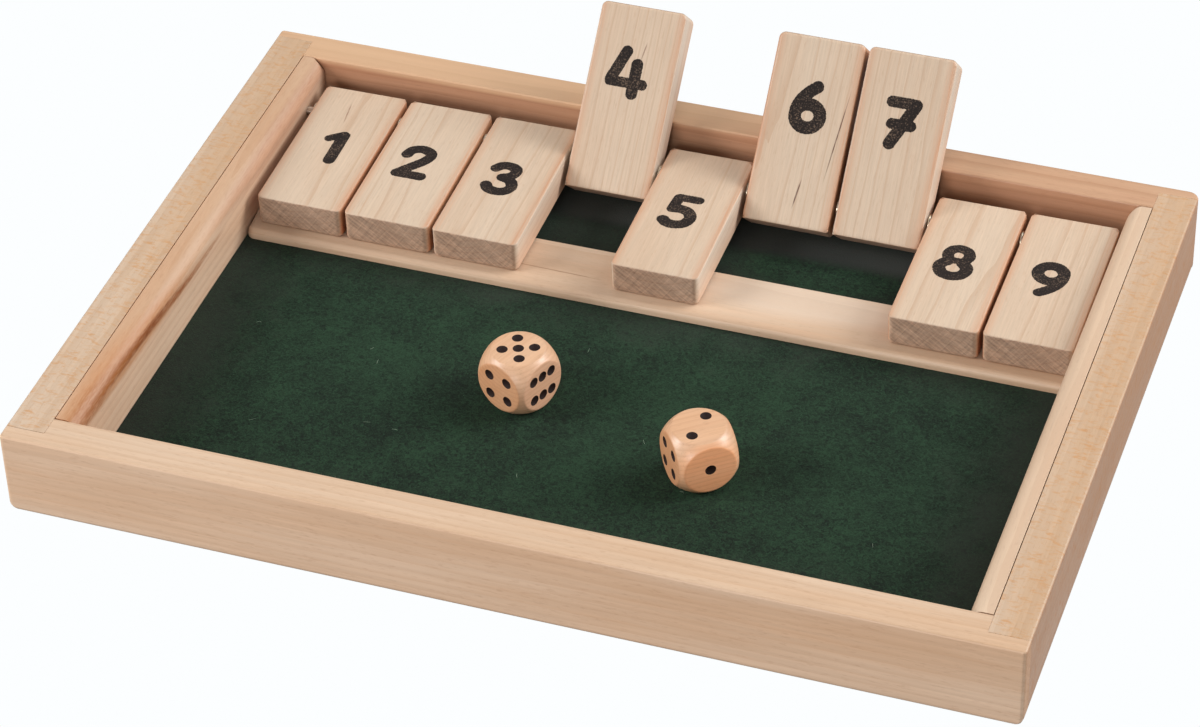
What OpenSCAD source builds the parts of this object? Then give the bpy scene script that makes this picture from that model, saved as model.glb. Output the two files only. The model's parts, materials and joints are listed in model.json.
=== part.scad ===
// Nine-tile number game tray: a lined wooden tray, nine numbered tiles on one rod, and two dice.
// Millimetres. +X to the player's right, +Y to the back, +Z up.
// The origin is the centre of the tray's underside.

/* [Tray frame] */
// Width of the tray over its side rails
frame_w = 250; // [240:1:300]
// Depth of the tray over its front and back rails
frame_d = 176; // [172:1:220]
// Height of the rails
frame_h = 23.2; // [22:0.1:30]
// Thickness of the side rails
side_rail_t = 10; // [8:0.5:14]
// Thickness of the front rail
front_rail_t = 10; // [8:0.5:14]
// Thickness of the back rail
back_rail_t = 9.6; // [8:0.1:14]
// Wood that the front rail keeps outside the side rails' ends
front_skin = 4.2; // [2.5:0.1:5]
// Wood that the back rail keeps outside the side rails' ends
back_skin = 3; // [2.5:0.1:5]
// Radius of the tray's four upright corners
corner_r = 1; // [0.5:0.1:2.5]
// Radius of the rails' top edges
rail_edge_r = 0.6; // [0.2:0.1:2]
// Radius of the rails' outer bottom edges
foot_edge_r = 1.6; // [0.2:0.1:3]

/* [Floor] */
// Thickness of the bottom panel
base_t = 5; // [3:0.1:8]
// How far the bottom panel reaches under each rail
base_lip = 5; // [2:0.5:5]
// Clearance around the bottom panel in its rebate
base_fit = 0.15; // [0.05:0.05:0.5]
// Thickness of the felt on the bottom panel
felt_t = 1.1; // [0.5:0.1:2]
// Clearance around the felt
felt_fit = 0.15; // [0.05:0.05:0.5]

/* [Side liners] */
// Thickness of the two strips that line the side rails
liner_t = 5.9; // [4:0.1:8]
// Radius of a liner's inner top edge
liner_edge_r = 3.3; // [1:0.1:3.8]
// Clearance at a liner's ends and back
liner_fit = 0.1; // [0.05:0.05:0.5]

/* [Rest strip] */
// How far the strip reaches out in front of the closed tiles
strip_out = 3.4; // [0:0.1:8]
// Width of the strip from front to back
strip_w = 18.4; // [8:0.1:24]
// Thickness of the strip
strip_t = 2.6; // [2:0.1:5]
// Radius of the strip's front top edge
strip_edge_r = 1.6; // [0.5:0.1:1.8]
// Radius of the strip's two front corners
strip_corner_r = 2.5; // [0.5:0.1:4]
// Clearance at the strip's ends
strip_fit = 0.15; // [0.05:0.05:0.5]

/* [Tiles] */
// Number of tiles
tile_count = 9; // [7:1:12]
// Gap between neighbouring tiles
tile_gap = 1; // [0.8:0.1:3]
// Gap between the left liner and the first tile
left_gap = 2.7; // [0.7:0.1:3]
// Gap between the last tile and the right liner
right_gap = 0.7; // [0.7:0.1:3]
// Length of a tile
tile_l = 49.25; // [46:0.25:54]
// Thickness of a tile
tile_t = 8.7; // [8:0.1:9.5]
// Radius of a tile's upright corners
tile_corner_r = 1.5; // [0.5:0.1:3]
// Radius of a tile's edges
tile_edge_r = 0.8; // [0.3:0.1:1.5]
// Air between the felt and the hinge end of a tile that turns past it
heel_air = 0.15; // [0.1:0.05:0.5]
// Air between the strip and the free end of a closed tile
seat_gap = 0.1; // [0.05:0.05:0.3]
// Air between a raised tile and the back rail that it leans on
lean_gap = 0.25; // [0.1:0.05:0.5]

/* [Hinge] */
// Diameter of the rod through the tiles
rod_d = 2.5; // [2:0.1:3]
// Distance of the rod's axis in front of the back rail
rod_back = 12.65; // [11:0.05:14]
// Height of the rod's axis over the strip, which lets a closed tile slope a little to the front
rod_over = 6.45; // [6.4:0.05:7]
// Wood between the rod's axis and the hinge end of a tile
heel_l = 7.6; // [6:0.1:7.6]
// Wood between the rod's axis and the underside of a tile
rod_up = 5.2; // [4.8:0.1:5.6]
// Radial clearance of the rod in a tile
hinge_fit = 0.08; // [0.02:0.01:0.1]
// Radial clearance of the rod in a liner
rod_fit = 0.02; // [0.01:0.01:0.1]
// Clearance between the rod's ends and the side rails
rod_end_fit = 0.2; // [0.1:0.1:1]
// Diameter of the washers on the rod
washer_d = 5.2; // [4:0.1:6]
// Thickness of a washer
washer_t = 0.5; // [0.3:0.1:0.5]
// Radial clearance of the rod in a washer
washer_fit = 0.1; // [0.05:0.05:0.3]
// Air between the first and last washers and their tiles
washer_air = 0.12; // [0.05:0.01:0.15]

/* [Dice] */
// Distance between opposite flats of a die
die_edge = 15.3; // [12:0.1:18]
// Diameter of the ball that rounds a die's corners
die_ball = 20.2; // [18:0.1:26]
// Diameter of a pip
pip_d = 2.8; // [2:0.1:3.2]
// Depth of a pip
pip_depth = 0.5; // [0.2:0.1:0.8]
// Distance of a pip from the middle of its face, along each edge
pip_step = 2.8; // [2:0.05:3]
// Distance of the six's outer columns from the middle of its face
six_step = 3.1; // [2.4:0.05:3.2]
// Left die: centre across the tray
die_1_x = -19.1; // [-60:0.1:0]
// Left die: centre along the tray
die_1_y = -18.9; // [-60:0.1:0]
// Left die: angle on the felt
die_1_angle = 67.5; // [0:0.5:360]
// Right die: centre across the tray
die_2_x = 31.6; // [10:0.1:80]
// Right die: centre along the tray
die_2_y = -33.6; // [-60:0.1:0]
// Right die: angle on the felt
die_2_angle = 38.5; // [0:0.5:360]
// Air between a die and the felt
die_gap = 0.1; // [0.05:0.05:0.3]

/* [Hidden] */
$fn = 64;
// Overshoot of a cutting solid past the face that it opens
cut = 1;
UP_TILES = [4, 6, 7];

half_w = frame_w / 2;
half_d = frame_d / 2;
// Inner faces of the rails and liners
side_in = half_w - side_rail_t;
front_in = -half_d + front_rail_t;
back_in = half_d - back_rail_t;
liner_in = side_in - liner_fit - liner_t;
// The tiles fill the row between the liners
tile_w = (2 * liner_in - left_gap - right_gap - (tile_count - 1) * tile_gap) / tile_count;
tile_pitch = tile_w + tile_gap;
first_x = -liner_in + left_gap + tile_w / 2;
// Places along the tray of the rod's axis, the closed tiles' free ends and the strip's front edge
rod_y = back_in - rod_back;
free_end = rod_y + heel_l - tile_l;
strip_y = free_end - strip_out;
// Heights of the felt's top, the strip's top and the rod's axis
felt_top = base_t + felt_t;
strip_top = felt_top + strip_t;
rod_z = strip_top + rod_over;
// Angle that a closed tile slopes down to its free end
free_l = tile_l - heel_l;
fall = asin((rod_over - seat_gap) / norm([free_l, rod_up])) - atan2(rod_up, free_l);
// Radius of the tile's lower edge at the hinge, which just clears the felt as the tile turns
heel_reach = rod_z - felt_top - heel_air;
heel_over = heel_l + rod_up - heel_reach;
heel_r = max(tile_edge_r, heel_over - sqrt(2 * (heel_reach - heel_l) * (heel_reach - rod_up)));
// The back rail's inner top edge, as the raised tile meets it, seen from the rod
edge_y = back_in + rail_edge_r - rod_y;
edge_z = frame_h - rail_edge_r - rod_z;
edge_far = norm([edge_y, edge_z]);
back_off = tile_t - rod_up;
// Angle of a raised tile behind the upright
lean = atan2(edge_y, edge_z) - asin((back_off + rail_edge_r + lean_gap) / edge_far);
open_turn = 90 + lean;

WOOD = "#DDBF9B";
PALE_WOOD = "#DEC8AC";
DARK_WOOD = "#C79A6B";
FELT = "#1F4A2E";
STEEL = "#B9B4AE";
DIE_WOOD = "#E0B78F";

// Flat rectangle from corner a to corner b with the four corner radii, anticlockwise from a
module round_box(a, b, r) {
    w = b[0] - a[0];
    h = b[1] - a[1];
    translate(a)
        difference() {
            square([w, h]);
            corner_cut([0, 0], 0, r[0]);
            corner_cut([w, 0], 90, r[1]);
            corner_cut([w, h], 180, r[2]);
            corner_cut([0, h], 270, r[3]);
        }
}

// What a corner of radius r loses: the corner at p, turned so that its wood lies along +X and +Y
module corner_cut(p, turn, r) {
    if (r > 0)
        translate(p)
            rotate(turn)
                difference() {
                    translate([-cut, -cut])
                        square(r + cut);
                    translate([r, r])
                        circle(r);
                }
}

// Extrudes a section drawn as (Y, Z) along X from x0 to x1
module along_x(x0, x1) {
    translate([x0, 0, 0])
        rotate([90, 0, 90])
            linear_extrude(x1 - x0)
                children();
}

// Extrudes a section drawn as (X, Z) along Y from y0 to y1
module along_y(y0, y1) {
    translate([0, y1, 0])
        rotate([90, 0, 0])
            linear_extrude(y1 - y0)
                children();
}

// Round hole or rod along X
module x_rod(r, x0, x1) {
    translate([x0, 0, 0])
        rotate([0, 90, 0])
            cylinder(r = r, h = x1 - x0);
}

// Pocket in the rails' underside for the bottom panel
module base_pocket() {
    translate([-side_in - base_lip, front_in - base_lip, -cut])
        cube([2 * (side_in + base_lip), back_in - front_in + 2 * base_lip, base_t + cut]);
}

// A side rail's block, with mirrored ends lapped into the front and back rails
module side_rail_block() {
    along_y(-half_d + front_skin, half_d - back_skin)
        round_box([side_in, 0], [half_w, frame_h], [0, foot_edge_r, rail_edge_r, rail_edge_r]);
}

// A cross rail between two depths, with its ends cut away for the side rails
module cross_rail(y0, y1, inner_y, outer_y) {
    difference() {
        intersection() {
            along_x(-half_w, half_w)
                round_box([y0, 0], [y1, frame_h], [y0 < 0 ? foot_edge_r : 0, y0 < 0 ? 0 : foot_edge_r,
                                                   rail_edge_r, rail_edge_r]);
            along_y(-half_d, half_d)
                round_box([-half_w, 0], [half_w, frame_h], [foot_edge_r, foot_edge_r, rail_edge_r, rail_edge_r]);
            linear_extrude(frame_h)
                round_box([-half_w, -half_d], [half_w, half_d], corner_r * [1, 1, 1, 1]);
        }
        for (side = [-1, 1])
            lap_cut(side, min(inner_y, outer_y), max(inner_y, outer_y));
        base_pocket();
    }
}

// What a cross rail loses at one end, between two depths
module lap_cut(side, y0, y1) {
    x0 = side > 0 ? side_in : -half_w - cut;
    translate([x0, y0, -cut])
        cube([side_rail_t + cut, y1 - y0, frame_h + 2 * cut]);
}

module front_rail() {
    color(WOOD)
        cross_rail(-half_d, front_in, front_in + cut, -half_d + front_skin);
}

module back_rail() {
    color(DARK_WOOD)
        cross_rail(back_in, half_d, back_in - cut, half_d - back_skin);
}

module right_rail() {
    color(WOOD)
        difference() {
            side_rail_block();
            base_pocket();
        }
}

module left_rail() {
    mirror([1, 0, 0])
        right_rail();
}

module base_panel() {
    reach_x = side_in + base_lip - base_fit;
    y0 = front_in - base_lip + base_fit;
    y1 = back_in + base_lip - base_fit;
    color(PALE_WOOD)
        translate([-reach_x, y0, 0])
            cube([2 * reach_x, y1 - y0, base_t]);
}

module felt_sheet() {
    reach_x = liner_in - felt_fit;
    y0 = front_in + felt_fit;
    y1 = back_in - felt_fit;
    color(FELT)
        translate([-reach_x, y0, base_t])
            cube([2 * reach_x, y1 - y0, felt_t]);
}

// A liner stands on the bottom panel beside the rail; the rod passes through its bore
module right_liner() {
    color(PALE_WOOD)
        difference() {
            along_y(front_in + liner_fit, back_in - liner_fit)
                round_box([liner_in, base_t], [liner_in + liner_t, frame_h], [0, 0, 0, liner_edge_r]);
            translate([0, rod_y, rod_z])
                x_rod(rod_d / 2 + rod_fit, liner_in - cut, side_in + cut);
        }
}

module left_liner() {
    mirror([1, 0, 0])
        right_liner();
}

module rest_strip() {
    reach_x = liner_in - strip_fit;
    a = [-reach_x, strip_y];
    b = [reach_x, strip_y + strip_w];
    back_edge_r = min(strip_edge_r, strip_t) / 2;
    color(WOOD)
        intersection() {
            along_x(-reach_x, reach_x)
                round_box([a[1], felt_top], [b[1], strip_top], [0, 0, back_edge_r, strip_edge_r]);
            translate([0, 0, felt_top])
                linear_extrude(strip_t)
                    round_box(a, b, [strip_corner_r, strip_corner_r, 0, 0]);
        }
}

module hinge_rod() {
    reach_x = side_in - rod_end_fit;
    color(STEEL)
        translate([0, rod_y, rod_z])
            x_rod(rod_d / 2, -reach_x, reach_x);
}

function tile_x(i) = first_x + (i - 1) * tile_pitch;

// Middle of the washer to the right of tile i, or of the first tile's left washer for i = 0
function washer_x(i) =
    i == 0 ? tile_x(1) - tile_w / 2 - washer_air - washer_t / 2 :
    i == tile_count ? tile_x(i) + tile_w / 2 + washer_air + washer_t / 2 :
    tile_x(i) + tile_pitch / 2;

module washers() {
    color(STEEL)
        for (i = [0 : tile_count])
            translate([washer_x(i), rod_y, rod_z])
                difference() {
                    x_rod(washer_d / 2, -washer_t / 2, washer_t / 2);
                    x_rod(rod_d / 2 + washer_fit, -washer_t, washer_t);
                }
}

// A level tile, with the rod's axis at the origin and its free end towards -Y
module level_tile() {
    half = tile_w / 2;
    free_y = heel_l - tile_l;
    color(PALE_WOOD)
        difference() {
            intersection() {
                along_x(-half, half)
                    round_box([free_y, -rod_up], [heel_l, back_off],
                        [tile_edge_r, heel_r, tile_edge_r, tile_edge_r / 2]);
                along_y(free_y, heel_l)
                    round_box([-half, -rod_up], [half, back_off],
                        tile_edge_r * [1.5, 1.5, 1, 1]);
                translate([0, 0, -rod_up])
                    linear_extrude(tile_t)
                        round_box([-half, free_y], [half, heel_l], tile_corner_r * [1, 1, 1, 1]);
            }
            x_rod(rod_d / 2 + hinge_fit, -half - cut, half + cut);
        }
}

// Tile i where it lies: closed on the strip, or raised against the back rail
module tile(i) {
    raised = len(search(i, UP_TILES)) > 0;
    translate([tile_x(i), rod_y, rod_z])
        rotate([raised ? -open_turn : fall, 0, 0])
            level_tile();
}

// Places of the pips on a face that shows n, across and up
function pips(n) =
    let (s = pip_step, c = six_step)
    n == 1 ? [[0, 0]] :
    n == 2 ? [[-s, -s], [s, s]] :
    n == 3 ? concat(pips(1), pips(2)) :
    n == 4 ? concat(pips(2), [[-s, s], [s, -s]]) :
    n == 5 ? concat(pips(1), pips(4)) :
    [for (x = [-c, 0, c], y = [-s, s]) [x, y]];

// The ball that hollows a pip: its radius from the pip's width and depth
pip_ball = (pow(pip_d / 2, 2) + pow(pip_depth, 2)) / (2 * pip_depth);

// Pips of a face that looks along +Z before it is turned
module face_pips(n, turn) {
    rotate(turn)
        for (p = pips(n))
            translate([p[0], p[1], die_edge / 2 - pip_depth + pip_ball])
                sphere(pip_ball);
}

// A die: the numbers on its top, left (-X) and front (-Y) faces; opposite faces add up to seven
module die(x, y, angle, top, left, front) {
    color(DIE_WOOD)
        translate([x, y, felt_top + die_gap + die_edge / 2])
            rotate(angle)
                difference() {
                    intersection() {
                        cube(die_edge, center = true);
                        sphere(d = die_ball);
                    }
                    face_pips(top, [0, 0, 0]);
                    face_pips(7 - top, [180, 0, 0]);
                    face_pips(left, [0, -90, 0]);
                    face_pips(7 - left, [0, 90, 0]);
                    face_pips(front, [90, 0, 0]);
                    face_pips(7 - front, [-90, 0, 0]);
                }
}

module die_1() {
    die(die_1_x, die_1_y, die_1_angle, 5, 4, 6);
}

module die_2() {
    die(die_2_x, die_2_y, die_2_angle, 2, 4, 1);
}

front_rail();
back_rail();
left_rail();
right_rail();
base_panel();
felt_sheet();
left_liner();
right_liner();
rest_strip();
hinge_rod();
washers();
for (i = [1 : tile_count])
    tile(i);
die_1();
die_2();
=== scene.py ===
"""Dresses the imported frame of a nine-tile number game tray.

Sizes in the classes are in millimetres and in the frame's axes: +X to the player's right, +Y to the
back, +Z up. The origin is the centre of the tray's underside.
"""

import json
import logging
import math
import random
from dataclasses import dataclass, field
from enum import Enum
from typing import Any, Callable, Sequence

import bmesh
import bpy
from mathutils import Matrix, Vector

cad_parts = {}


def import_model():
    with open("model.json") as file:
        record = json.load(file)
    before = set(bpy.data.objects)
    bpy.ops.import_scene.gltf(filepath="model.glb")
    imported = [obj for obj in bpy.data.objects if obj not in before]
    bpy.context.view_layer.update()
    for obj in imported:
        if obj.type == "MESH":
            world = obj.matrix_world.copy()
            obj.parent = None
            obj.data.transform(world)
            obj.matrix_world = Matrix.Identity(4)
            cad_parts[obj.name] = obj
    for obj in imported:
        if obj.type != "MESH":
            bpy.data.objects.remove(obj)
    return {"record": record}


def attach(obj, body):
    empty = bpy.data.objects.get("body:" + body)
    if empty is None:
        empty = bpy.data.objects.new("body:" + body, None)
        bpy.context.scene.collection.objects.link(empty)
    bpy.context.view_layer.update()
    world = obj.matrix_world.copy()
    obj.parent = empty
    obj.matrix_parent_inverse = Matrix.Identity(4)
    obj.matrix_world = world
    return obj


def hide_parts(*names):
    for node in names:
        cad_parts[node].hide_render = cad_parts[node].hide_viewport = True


# One millimetre, how near counts as touching, and how far a cutter reaches past what it cuts
MM = 0.001
NEAR = 0.01
OVER = 1.0
# Edges that turn by more than this stay sharp
SHARP = math.radians(40)
PICTURE_W = 1200
Piece = bpy.types.Object
Point = tuple[float, float]
Place = tuple[float, float, float]
EdgeTest = Callable[[Vector, Vector], float]
log = logging.getLogger("game_tray")


# ---------------------------------------------------------------- modelling


def work_on(piece: Piece) -> None:
    """Makes piece the only selected object and the active one.

    Args:
        piece: the object to work on.
    """
    if bpy.context.mode != "OBJECT":
        bpy.ops.object.mode_set(mode="OBJECT")
    bpy.ops.object.select_all(action="DESELECT")
    piece.select_set(True)
    bpy.context.view_layer.objects.active = piece


def apply_place() -> None:
    """Puts the selected objects' place, turn and scale into their meshes."""
    bpy.ops.object.transform_apply(location=True, rotation=True, scale=True)


def primitive(name: str, kind: str, stretch: Place | None = None, **settings: Any) -> Piece:
    """Adds one of Blender's mesh primitives at its size and place.

    Args:
        name: the piece's name.
        kind: the primitive, as its operator calls it.
        stretch: what its object is scaled by, where its operator takes no scale.
        settings: the operator's settings.

    Returns:
        The piece, unturned at the origin, with its place in its mesh.
    """
    bpy.ops.object.select_all(action="DESELECT")
    getattr(bpy.ops.mesh, f"primitive_{kind}_add")(**settings)
    piece = bpy.context.active_object
    piece.name = piece.data.name = name
    if stretch:
        piece.scale = stretch
    apply_place()
    return piece


def block(name: str, low: Place, high: Place) -> Piece:
    """Adds a squared block between its lowest and its highest corner, in mm."""
    middle, size = (Vector(low) + Vector(high)) / 2 * MM, (Vector(high) - Vector(low)) * MM
    return primitive(name, "cube", size=1, location=middle, scale=size)


def grid(name: str, cells: tuple[int, int], low: Place, high: Place) -> Piece:
    """Adds a flat sheet of cells between two corners of the same height.

    Args:
        name: the piece's name.
        cells: how many cells along X and Y.
        low: front left corner, in mm.
        high: back right corner, in mm.

    Returns:
        The sheet.
    """
    middle = (Vector(low) + Vector(high)) / 2 * MM
    stretch = ((high[0] - low[0]) * MM, (high[1] - low[1]) * MM, 1)
    return primitive(name, "grid", stretch, x_subdivisions=cells[0], y_subdivisions=cells[1], size=1,
                     location=middle)


def bar(name: str, radius: float, x0: float, x1: float, y: float, z: float) -> Piece:
    """Adds a round bar along X.

    Args:
        name: the piece's name.
        radius: its radius, in mm.
        x0: left end, in mm.
        x1: right end, in mm.
        y: the axis' place to the back, in mm.
        z: the axis' height, in mm.

    Returns:
        The bar.
    """
    return primitive(name, "cylinder", vertices=48, radius=radius * MM, depth=(x1 - x0) * MM,
                     location=Vector(((x0 + x1) / 2, y, z)) * MM, rotation=(0, math.pi / 2, 0))


def apply_modifier(piece: Piece, kind: str, **settings: Any) -> None:
    """Adds one modifier to piece and applies it.

    Args:
        piece: the object to change.
        kind: the modifier's type.
        settings: the modifier's properties.
    """
    work_on(piece)
    bpy.ops.object.modifier_add(type=kind)
    modifier = piece.modifiers[-1]
    for key, value in settings.items():
        setattr(modifier, key, value)
    bpy.ops.object.modifier_apply(modifier=modifier.name)


def carve(piece: Piece, cutter: Piece) -> None:
    """Cuts the cutter out of piece and removes the cutter."""
    apply_modifier(piece, "BOOLEAN", operation="DIFFERENCE", solver="EXACT", object=cutter)
    bpy.data.objects.remove(cutter)


def ease(piece: Piece, radius: float, picks: EdgeTest, segments: int = 4) -> None:
    """Rounds the edges that a test picks.

    Args:
        piece: the object to round.
        radius: the radius, in mm.
        picks: gives each edge's share of the radius, from its middle in mm and its direction.
        segments: faces across the rounding.
    """
    mesh, key = piece.data, "bevel_weight_edge"
    chosen = []
    for edge in mesh.edges:
        a, b = (mesh.vertices[i].co / MM for i in edge.vertices)
        chosen.append(float(picks((a + b) / 2, (b - a).normalized())))
    layer = mesh.attributes.get(key) or mesh.attributes.new(key, "FLOAT", "EDGE")
    layer.data.foreach_set("value", chosen)
    apply_modifier(piece, "BEVEL", limit_method="WEIGHT", width=radius * MM, segments=segments,
                   use_clamp_overlap=False)


def smooth(piece: Piece) -> Piece:
    """Shades a piece smoothly, with its flat faces kept flat.

    Args:
        piece: the piece to shade.

    Returns:
        The same piece.
    """
    work_on(piece)
    bpy.ops.object.shade_smooth_by_angle(angle=SHARP)
    apply_modifier(piece, "WEIGHTED_NORMAL", weight=100, keep_sharp=True)
    return piece


def lies(along: Vector, axis: int) -> bool:
    """Whether a direction runs along one axis."""
    return abs(along[axis]) > 0.99


def turned(axis: str, degrees: float) -> Matrix:
    """A 3 by 3 turn about one axis."""
    return Matrix.Rotation(math.radians(degrees), 3, axis)


def shifted(*place: float) -> Matrix:
    """A 4 by 4 shift by a place in mm."""
    return Matrix.Translation(Vector(place) * MM)


def put(piece: Piece, place: Matrix) -> None:
    """Moves a piece and leaves its object at the origin.

    Args:
        piece: the piece to move.
        place: where to, as a 4 by 4 matrix.
    """
    work_on(piece)
    piece.matrix_world = place
    apply_place()


def twin(piece: Piece) -> Piece:
    """Copies a piece, with a mesh of its own.

    Args:
        piece: the piece to copy.

    Returns:
        The copy.
    """
    copy = piece.copy()
    copy.data = piece.data.copy()
    bpy.context.scene.collection.objects.link(copy)
    return copy


def join(pieces: Sequence[Piece]) -> Piece:
    """Joins pieces into the first of them.

    Args:
        pieces: the pieces to join.

    Returns:
        The joined piece.
    """
    work_on(pieces[0])
    for piece in pieces:
        piece.select_set(True)
    bpy.ops.object.join()
    return bpy.context.active_object


# ---------------------------------------------------------------- finishes


def srgb(code: str) -> tuple[float, float, float, float]:
    """Turns an sRGB hex code into the linear colour that a shader takes."""
    parts = (int(code[i : i + 2], 16) / 255 for i in (1, 3, 5))
    return (*(c / 12.92 if c <= 0.04045 else ((c + 0.055) / 1.055) ** 2.4 for c in parts), 1.0)


class Nodes:
    """A new material and its nodes."""

    def __init__(self, name: str) -> None:
        """Starts the material with no nodes.

        Args:
            name: the material's name.
        """
        self.material = bpy.data.materials.new(name)
        self.material.use_nodes = True
        self.tree = self.material.node_tree
        self.tree.nodes.clear()

    def add(self, kind: str, inputs: dict[Any, Any] | Sequence[Any] = (), out: int | str = 0,
            **settings: Any) -> Any:
        """Adds one node, with its settings, and sets or links its inputs.

        Args:
            kind: the node's type, without ShaderNode in front.
            inputs: values, or outputs to link, by the input's name or number, or in the inputs' order.
            out: the name or number of the output wanted.
            settings: the node's properties.

        Returns:
            That output.
        """
        node = self.tree.nodes.new(f"ShaderNode{kind}")
        for key, value in settings.items():
            setattr(node, key, value)
        for key, value in inputs.items() if isinstance(inputs, dict) else enumerate(inputs):
            if isinstance(value, bpy.types.NodeSocket):
                self.tree.links.new(value, node.inputs[key])
            else:
                node.inputs[key].default_value = value
        return node.outputs[out]

    def finish(self, shader: Any) -> bpy.types.Material:
        """Joins the shader to the material's output.

        Args:
            shader: the surface shader's output.

        Returns:
            The finished material.
        """
        output = self.tree.nodes.new("ShaderNodeOutputMaterial")
        self.tree.links.new(shader, output.inputs["Surface"])
        return self.material


@dataclass(frozen=True)
class Mark:
    """A mineral streak, a dark vein, a pale patch, or a patch of painted light or of painted shade in a
    board: a stretched ball along the grain.
    """

    x: float
    y: float
    length: float
    width: float
    turn: float = 0.0
    colour: str = "#7A4A34"
    strength: float = 0.8
    broken: float = 0.5
    z: float = 0.0
    deep: float = 40.0
    pitch: float = 0.0


@dataclass(frozen=True)
class Board:
    """How a piece was cut from its log: local X runs along the grain and Z out of its best face."""

    origin: Place
    turn: Matrix = field(default_factory=lambda: Matrix.Identity(3))
    pith: Point = (6.0, -38.0)
    tilt: Point = (0.0, 0.0)
    seed: float = 0.0
    half_width: float = 0.0
    marks: tuple[Mark, ...] = ()
    # Painted light and shade: a tint on the two narrow long faces, and a second, darker one that grows
    # towards their bottom
    painted_flank_light_and_shade: Place = (1.0, 1.0, 1.0)
    painted_low_flank_shade: Place | None = None


@dataclass(frozen=True)
class Hardwood:
    """Maple or birch, sawn, sanded and sealed with a clear lacquer.

    It gives fine growth rings, long soft fibres, short dark vessel dashes, flecks where the fibres
    curl, and darker end grain that can still show the saw. On the tiles it also paints warm shade along
    the long edges of the wide faces.
    curl, and darker end grain that can still show the saw.
    """

    name: str
    pale: str
    warm: str
    ring: str
    vessel: str = "#94694A"
    end: str = "#B39A86"
    ring_mm: float = 2.6
    ring_strength: float = 0.4
    ring_from: float = 0.45
    fibre_mm: float = 0.8
    fleck: str = "#BC8143"
    fleck_strength: float = 0.0
    fibre_strength: float = 0.07
    vessel_strength: float = 0.2
    # The colour and strength of the painted warm shade along the long edges of the wide faces
    edge: str = "#C98A5E"
    painted_edge_shade: float = 0.0
    roughness: float = 0.42
    coat: float = 0.15
    coat_roughness: float = 0.3
    saw_strength: float = 0.0

    def dress(self, piece: Piece, board: Board) -> None:
        """Gives piece this finish, cut from the log as board says."""
        piece.data.materials.clear()
        piece.data.materials.append(Timber(self, board, f"{self.name}_{piece.name}").make())


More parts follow.
